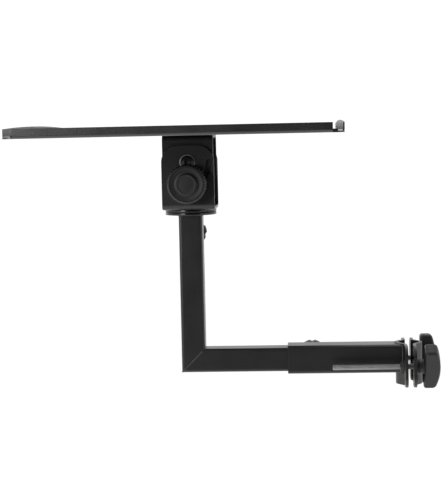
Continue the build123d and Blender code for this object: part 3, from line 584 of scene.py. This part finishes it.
def jawWeldPath():
    # Round the sleeve's end where it lies on the jaw
    loop = squareLoop(sleeve["size"] - 0.4, sleeve["corner"], 12)
    fine = evenPath(np.column_stack([loop, 0 * loop[:, 0]]), 0.5)[:, :2]
    return alongTheArm(fine, jawEnd(fine))


def mitreWeldPath():
    # Round the mitre, whose plane rises one for one along X; the weld is ground nearly flush
    loop = squareLoop(tube["size"] - 1.3, tube["corner"] - 0.5, 12)
    return upTheUpright(loop, uprightLow[2] + loop[:, 0] + tube["size"] / 2)


addPiece("sleeve_weld", [weldBead(jawWeldPath(), (1, 0, 0), beads["sleeve"])], "sleeve_tube")
addPiece("mitre_weld", [weldBead(mitreWeldPath(), (1, 0, -1), beads["mitre"], 2.2)], "upright_tube")
discLow, discHigh = boxOf("lower_disc")
addPiece("disc_weld", [weldBead(upTheUpright(squareLoop(tube["size"], tube["corner"], 12), discLow[2] - 0.1),
                                alongZ, beads["disc"])], "upright_tube")
print("tubes and welds made")

# Lock bosses, screws and knobs. The knobs' rims have finger dips, cut by circles round the rim
lock = {"bossR": 8.0, "screwR": 3.0, "boreR": 3.12, "pitch": 1.0, "knobR": 14.0, "lobes": 7, "dipR": 4.0,
        "dipOut": 16.8, "edge": 1.8, "dish": 0.8, "capR": 7.2}


def dipReach(look, radius, angle):
    # A ray from the middle ends at the rim or, nearer, where it meets a dip's circle; the two blend softly
    turn = (angle + pi / look["lobes"]) % (2 * pi / look["lobes"]) - pi / look["lobes"]
    across = look["dipOut"] * np.sin(turn)
    inside = np.maximum(look["dipR"] ** 2 - across ** 2, 0)
    dip = np.where(np.abs(across) < look["dipR"], look["dipOut"] * np.cos(turn) - np.sqrt(inside), look["knobR"])
    dip = np.minimum(dip, look["knobR"])
    return radius * dip / look["knobR"]


def lockKnob(look, spot, near, far):
    # Back, rounded rim, rounded front edge, then a dished face round a raised cap
    rim, edge, deep = look["knobR"], look["edge"], far - look["dish"]
    profile = [(4.2, near + 0.4), (6.5, near), (rim - edge, near)]
    profile += [*arcProfile((rim - edge, near + edge), edge, -80, 0, 6)]
    profile += [*arcProfile((rim - edge, far - edge), edge, 0, 90, 6)]
    profile += [(rim - edge - 1.4, far - 0.1), (look["capR"] + 2.2, deep), (look["capR"] + 0.9, deep)]
    profile += [(look["capR"], deep + 0.1), (look["capR"] - 0.3, far - 0.4), (look["capR"] - 1.0, far - 0.1)]
    profile += [(look["capR"] * 0.5, far - 0.02), (0.5, far)]

    def shape(radius, angle, height):
        # Only the outer part has dips; the cap and the back's middle stay round
        share = np.clip((radius - look["capR"] - 0.9) / (rim - 4 - look["capR"]), 0, 1)
        return radius + share * (dipReach(look, radius, angle) - radius)

    return lathe(profile, spot, alongY, 7 * 24, shape)


for name, boss, screw, knob, joint, walled, wall in (
        ("sleeve", "sleeve_lock_nut", "sleeve_lock_screw", "sleeve_lock_knob", "sleeve_lock_turn", sleeveTube,
         sleeve["wall"]),
        ("pan", "pan_lock_nut", "pan_lock_screw", "pan_lock_knob", "pan_lock_turn", uprightTube, tube["wall"])):
    spot = anchor(joint) * (1, 0, 1)
    tubeBack = boxOf(boss)[0][1]
    drill(walled, spot, lock["boreR"], tubeBack - wall - 2, tubeBack + 2)
    low, high = boxOf(boss)
    radius, soft = lock["bossR"], 0.8
    bossProfile = [(lock["boreR"], low[1] + 0.2), (radius, low[1]), (radius, high[1] - soft)]
    bossProfile += [*arcProfile((radius - soft, high[1] - soft), soft, 15, 90, 5)]
    bossProfile += [(lock["screwR"] + 0.6, high[1]), (lock["boreR"], high[1] - 0.5)]
    addPiece(name + "_lock_boss", [lathe(bossProfile, spot, alongY, 96, ringLoop=True)], boss, [boss])
    addPiece(name + "_boss_weld", [weldBead(circlePath(spot + low[1] * alongY, radius + 0.3, alongX, alongZ),
                                            alongY, beads["boss"])], boss)
    low, high = boxOf(screw)
    addPiece(name + "_lock_thread", [threadedRod(spot, alongY, lock["screwR"], lock["pitch"], low[1], high[1])],
             screw, [screw])
    low, high = boxOf(knob)
    addPiece(name + "_lock_grip", [lockKnob(lock, spot, low[1], high[1])], knob, [knob], crease=50)
print("locks made")

# Swivel: two smooth discs, the post that turns in the upright, and the bolt that holds the fork down on it
swivel = {"edge": 0.9, "postBore": 8.3, "boltWidth": 13.0, "boltR": 4.0, "washerR": 8.0}
for disc in ("lower_disc", "upper_disc"):
    low, high = boxOf(disc)
    discR, soft = (high[0] - low[0]) / 2, swivel["edge"]
    profile = [(swivel["postBore"], low[2]), *arcProfile((discR - soft, low[2] + soft), soft, -90, 0, 6)]
    profile += [*arcProfile((discR - soft, high[2] - soft), soft, 0, 90, 6), (swivel["postBore"], high[2])]
    addPiece(disc + "_turned", [lathe(profile, (uprightX, 0, 0), alongZ, 144, ringLoop=True)], disc, [disc],
             smoothPaint)


def hexHead(centre, axis, width, height, shankR, length):
    # Shank, then a hexagon head whose top a cone has turned down round a flat
    profile = [(shankR - 0.6, -length), (shankR, 0.6 - length), (shankR, 0)]
    profile += [(width, along) for along in (0, height - 0.9, height - 0.5, height - 0.2, height)]
    profile.append((width / 2 * 0.8, height))

    def shape(radius, angle, along):
        cone = width / 2 * 0.96 + coneSlope * (height - along)
        return np.where(radius > width * 0.9, np.minimum(hexReach(angle) * width / 2, cone), radius)

    return lathe(profile, centre, axis, 72, shape)


low, high = boxOf("post_washer")
addPiece("post_washer_pressed", [washer((uprightX, 0, low[2]), alongZ, swivel["washerR"], swivel["boltR"] + 0.3,
                                        high[2] - low[2])], "post_washer", ["post_washer"])
headZ = high[2]
low, high = boxOf("post_bolt")
addPiece("post_bolt_forged", [hexHead((uprightX, 0, headZ), alongZ, swivel["boltWidth"], high[2] - headZ,
                                      swivel["boltR"], headZ - low[2])], "post_bolt", ["post_bolt"])
print("swivel made")

# Fork, pivot bolt and channel
head = {"edge": 0.45, "boltR": 4.0, "buttonR": 7.0, "buttonDome": 8.2, "socket": 5.0, "socketDepth": 2.2,
        "nutWidth": 13.0, "washerR": 8.0, "studR": 3.0, "studHeadR": 7.0, "studHead": 3.0}
roundedCopy("fork", head["edge"])
roundedCopy("tilt_channel", head["edge"])
pivot = anchor("tray_tilt") * (1, 0, 1)
washerLow, washerHigh = boxOf("pivot_washers")
boltLow, boltHigh = boxOf("pivot_bolt")
nutLow, nutHigh = boxOf("pivot_nut")
washerWall = nutLow[1] - boxOf("fork")[1][1]
addPiece("pivot_washers_pressed", [
    washer(pivot + washerLow[1] * alongY, alongY, head["washerR"], head["boltR"] + 0.3, washerWall),
    washer(pivot + (washerHigh[1] - washerWall) * alongY, alongY, head["washerR"], head["boltR"] + 0.3, washerWall)],
    "pivot_washers", ["pivot_washers"])
headY = washerLow[1]
buttonHead = addPiece("pivot_bolt_head", [
    socketHead(pivot + headY * alongY, -alongY, head["buttonR"], headY - boltLow[1], head["buttonDome"],
               head["socket"], head["socketDepth"])], "pivot_bolt", look=looks["black_oxide_steel"])
addPiece("pivot_bolt_turned", [
    lathe([(head["boltR"], headY - 0.5), (head["boltR"], nutHigh[1] - 1)], pivot, alongY),
    threadedRod(pivot, alongY, head["boltR"], 1.25, nutLow[1] - 1, boltHigh[1], 36)], "pivot_bolt", ["pivot_bolt"])
addPiece("pivot_nut_forged", [hexNut(pivot + nutLow[1] * alongY, alongY, head["nutWidth"], head["boltR"] + 0.05,
                                     nutHigh[1] - nutLow[1])], "pivot_nut", ["pivot_nut"])

# Tilt stud, washer and the round knob: 40 flutes on the rim, a ring groove on the face and a domed boss
knob = {"rimR": 20.5, "faceR": 18.6, "height": 12.5, "flutes": 40, "fluteR": 0.8, "hubR": 9.0, "bossR": 10.8,
        "bossHeight": 3.5, "groove": 0.5, "dish": 0.7}
stud = anchor("tilt_knob_turn") * (1, 0, 1)
low, high = boxOf("tilt_stud")
addPiece("tilt_stud_threaded", [
    lathe([(head["studHeadR"] - 0.6, 0), (head["studHeadR"], 0.6), (head["studHeadR"], head["studHead"])],
          stud + high[1] * alongY, -alongY),
    threadedRod(stud, alongY, head["studR"], 1.0, low[1], high[1] - head["studHead"] + 0.5)],
    "tilt_stud", ["tilt_stud"])
low, high = boxOf("tilt_washer")
addPiece("tilt_washer_pressed", [washer(stud + low[1] * alongY, alongY, (high[0] - low[0]) / 2, head["studR"] + 0.3,
                                        high[1] - low[1])], "tilt_washer", ["tilt_washer"])


def tiltKnob(look, spot, front, back):
    # Heights run from the knob's front face (0, towards the viewer) back to its hub
    rim, face, deep = look["rimR"], look["faceR"], look["bossHeight"]
    bevel = deep + rim - face
    profile = [(0.6, 0), (look["bossR"] - 3.5, 0.12), (look["bossR"] - 1.4, 0.25)]
    profile += [*arcProfile((look["bossR"] - 1.2, 1.2), 1.2, -70, 0, 6)]
    profile += [(look["bossR"], deep + look["dish"] - 0.3), (look["bossR"] + 0.4, deep + look["dish"])]
    profile += [(look["bossR"] + 2.5, deep + look["dish"]), (face - 2.2, deep + 0.25), (face - 1.6, deep + 0.2)]
    profile += [(face - 1.4, deep + look["groove"] + 0.2), (face - 1.0, deep + look["groove"] + 0.2)]
    profile += [(face - 0.8, deep + 0.05), (face - 0.1, deep), (face + 0.1, deep + 0.1)]
    profile += [(rim - 0.1, bevel - 0.1), (rim, bevel + 0.15), (rim, deep + look["height"] - 0.8)]
    profile += [(rim - 0.3, deep + look["height"] - 0.25), (rim - 0.9, deep + look["height"])]
    profile += [(look["hubR"], deep + look["height"]), (look["hubR"], back - front - 0.3)]
    profile += [(look["hubR"] - 0.3, back - front), (4.0, back - front)]

    def shape(radius, angle, height):
        # A flute is a small circle's dip in the rim; it runs out over the bevel
        turn = (angle * look["flutes"] + pi) % (2 * pi) - pi
        across = turn / look["flutes"] * rim / look["fluteR"] / 1.25
        dip = look["fluteR"] * np.sqrt(np.maximum(1 - across ** 2, 0))
        return radius - dip * np.clip((radius - face - 0.3) / (rim - face - 0.6), 0, 1)

    return lathe(profile, spot + front * alongY, alongY, look["flutes"] * 12, shape)


low, high = boxOf("tilt_knob")
addPiece("tilt_knob_fluted", [tiltKnob(knob, stud, low[1], high[1])], "tilt_knob", ["tilt_knob"], crease=45)
print("tilting head made")

# Tray: folded sheet with soft edges, a ribbed mat, and four low socket bolts with their nuts
tray = {"edge": 0.4, "boltHeadR": 4.75, "boltR": 2.5, "socket": 3.0, "socketDepth": 1.2, "dome": 9.0,
        "boltSpacing": 32.0, "nutWidth": 8.0}
mat = {"edge": 0.5, "corner": 12.0, "border": 7.0, "pitch": 3.0, "ribWidth": 1.3, "ribHeight": 0.35, "plain": 56.0}
# The pan wears the lighter copy of the powder coat, whose lighter tone is painted light
roundedCopy("tray_pan", tray["edge"], trayCoatLitCopy)
matLow, matHigh = boxOf("tray_mat")
matMiddle, matHalf = (matLow + matHigh) / 2, (matHigh - matLow) / 2


def matRibs(look):
    # Half-round ribs across the mat, side by side; each ends on the border, which follows the mat's corners,
    # and the ones beside the bolts leave a plain square open
    reach = matHalf[:2] - look["border"]
    bend = look["corner"] - look["border"]
    count = int(2 * reach[1] / look["pitch"])
    y = (np.arange(count) - (count - 1) / 2) * look["pitch"]
    past = np.clip(np.abs(y) - (reach[1] - bend), 0, bend)
    end = reach[0] - bend + np.sqrt(bend ** 2 - past ** 2)
    beside = np.abs(y) < look["plain"] / 2
    gap = np.where(beside, look["plain"] / 2, 0)
    starts = np.concatenate([-end, gap[beside]])
    ends = np.concatenate([np.where(beside, -gap, end), end[beside]])
    y = np.concatenate([y, y[beside]])
    angle = np.linspace(pi, 0, 7)
    ring = np.stack([look["ribWidth"] / 2 * np.cos(angle), look["ribHeight"] * np.sin(angle)], 1)
    shells = []
    stations = np.array((0.0, 0.3, 1.0))
    sizes = np.array((0.05, 0.7, 1.0))
    for start, stop, middle in zip(starts, ends, y):
        x = np.concatenate([start + stations, stop - stations[::-1]])
        size = np.concatenate([sizes, sizes[::-1]])[:, None]
        points = np.stack([x[:, None] + 0 * ring[:, 0], middle + size * ring[:, 0], size * ring[:, 1]], -1)
        points += (matMiddle[0], matMiddle[1], matHigh[2] - 0.02)
        shells.append((points, gridFaces(len(x), len(ring), caps=True)))
    return shells


roundedCopy("tray_mat", mat["edge"])
addPiece("tray_mat_ribs", matRibs(mat), "tray_mat")
low, high = boxOf("tray_bolts")
nutLow, nutHigh = boxOf("tray_nuts")
boltMiddle = (low + high) / 2
bedZ = matLow[2]
half = tray["boltSpacing"] / 2
boltSpots = [np.array((boltMiddle[0] + x, boltMiddle[1] + y, 0)) for x in (-half, half) for y in (-half, half)]
bolts = []
for spot in boltSpots:
    bolts.append(socketHead(spot + bedZ * alongZ, alongZ, tray["boltHeadR"], high[2] - bedZ, tray["dome"],
                            tray["socket"], tray["socketDepth"]))
    bolts.append(threadedRod(spot, alongZ, tray["boltR"], 0.8, low[2], bedZ + 0.3, 20))
addPiece("tray_bolts_turned", bolts, "tray_bolts", ["tray_bolts"])
addPiece("tray_nuts_forged", [
    hexNut(spot + nutLow[2] * alongZ, alongZ, tray["nutWidth"], tray["boltR"] + 0.05, nutHigh[2] - nutLow[2])
    for spot in boltSpots], "tray_nuts", ["tray_nuts"])
print("tray made")

# The pieces that keep their CAD shape get their finish here
for node, shown in frame["nodes"].items():
    shown.data.materials.clear()
    shown.data.materials.append(looks[slotOf[node]])

# Studio: a round white floor, a soft light overhead, one from the left front and one from the left behind
studio = {"floorZ": -700.0, "floorR": 9000.0, "floor": "#fafaf9", "floorCloud": "#f6f6f5", "world": "#ffffff",
          "worldPower": 1.08}
lamps = {
    "top": {"place": (-250, 500, 1800), "aim": (-228, 0, 150), "size": (1500, 1500), "power": 8},
    "left": {"place": (-1080, -1350, 400), "aim": (-400, -150, 200), "size": (500, 500), "power": 12},
    "back": {"place": (-1200, 1200, 900), "aim": (-228, 0, 150), "size": (800, 800), "power": 10},
}
# A black card in front of the object keeps its front faces dark: it is a dark sheet that paints dark reflections on
# them, and it shows only in reflections: the camera, the floor's light and the shadows pass it by
card = {"y": -2600.0, "half": (2300.0, 1700.0), "middle": (0.0, 500.0), "bow": 150.0, "columns": 13, "rows": 9,
        "dark": "#0c0c0c", "light": "#1a1a1a"}


def addFloor(look):
    # A flat disc: rings of points round the middle
    angle = np.linspace(0, 2 * pi, 96, endpoint=False)
    rim = np.stack([np.cos(angle), np.sin(angle), 0 * angle], 1)
    rings = np.array((0.02, 0.3, 1.0))[:, None, None] * look["floorR"] * rim
    rings[..., 2] = look["floorZ"]
    mesh = bpy.data.meshes.new("floor")
    mesh.from_pydata((rings.reshape(-1, 3) * mm).tolist(), [], gridFaces(3, 96) + [list(range(96))])
    floor = bpy.data.objects.new("floor", mesh)
    bpy.context.scene.collection.objects.link(floor)
    # Matte white paper
    material, tree, shader, place = newMaterial("white paper", {"Roughness": 0.9})
    # Clouds about 170 mm wide
    cloud = addNode(tree, "ShaderNodeTexNoise", {"Scale": 6.0}, {"Vector": place})
    tone = addNode(tree, "ShaderNodeMix", {6: colour(look["floorCloud"]), 7: colour(look["floor"])},
                   {0: cloud.outputs["Fac"]}, data_type="RGBA")
    tree.links.new(tone.outputs[2], shader.inputs["Base Color"])
    mesh.materials.append(material)


def addCard(look):
    # A flat sheet, seen only in reflections, that bows a little towards the object, as a hung cloth does
    columns, rows = look["columns"], look["rows"]
    across, up = np.meshgrid(np.linspace(-1, 1, columns), np.linspace(-1, 1, rows))
    points = np.stack([look["middle"][0] + look["half"][0] * across, look["y"] + look["bow"] * across ** 2,
                       look["middle"][1] + look["half"][1] * up], -1)
    corner = (np.arange(rows - 1)[:, None] * columns + np.arange(columns - 1)[None, :]).reshape(-1, 1)
    mesh = bpy.data.meshes.new("card")
    mesh.from_pydata((points.reshape(-1, 3) * mm).tolist(), [], (corner + (0, 1, columns + 1, columns)).tolist())
    reflectionCard = bpy.data.objects.new("card", mesh)
    bpy.context.scene.collection.objects.link(reflectionCard)
    reflectionCard.visible_camera = reflectionCard.visible_diffuse = reflectionCard.visible_shadow = False
    # Black sheet seen only in reflections: it paints dark reflections on the front faces, with a faint mottle like a
    # weave
    material, tree, shader, place = newMaterial("black reflection card", {"Roughness": 0.95})
    weave = addNode(tree, "ShaderNodeTexNoise", {"Scale": perMetre(3.0)}, {"Vector": place})
    tone = addNode(tree, "ShaderNodeMix", {6: colour(look["dark"]), 7: colour(look["light"])},
                   {0: weave.outputs["Fac"]}, data_type="RGBA")
    tree.links.new(tone.outputs[2], shader.inputs["Base Color"])
    mesh.materials.append(material)


def addWorld(look):
    # The same white from every side
    world = bpy.data.worlds.new("studio")
    world.use_nodes = True
    background = world.node_tree.nodes["Background"]
    background.inputs["Color"].default_value = colour(look["world"])
    background.inputs["Strength"].default_value = look["worldPower"]
    bpy.context.scene.world = world


def addLamp(name, look):
    # A flat soft lamp, turned from its place to its aim
    data = bpy.data.lights.new(name, "AREA")
    data.shape = "RECTANGLE"
    data.size, data.size_y = (side * mm for side in look["size"])
    data.energy = look["power"]
    lamp = bpy.data.objects.new(name, data)
    aim = Vector(look["aim"]) - Vector(look["place"])
    turn = aim.to_track_quat("-Z", "Y").to_matrix().to_4x4()
    lamp.matrix_world = Matrix.Translation(Vector(look["place"]) * mm) @ turn
    bpy.context.scene.collection.objects.link(lamp)


addFloor(studio)
addCard(card)
addWorld(studio)
for name, look in lamps.items():
    addLamp(name, look)
print("studio made")
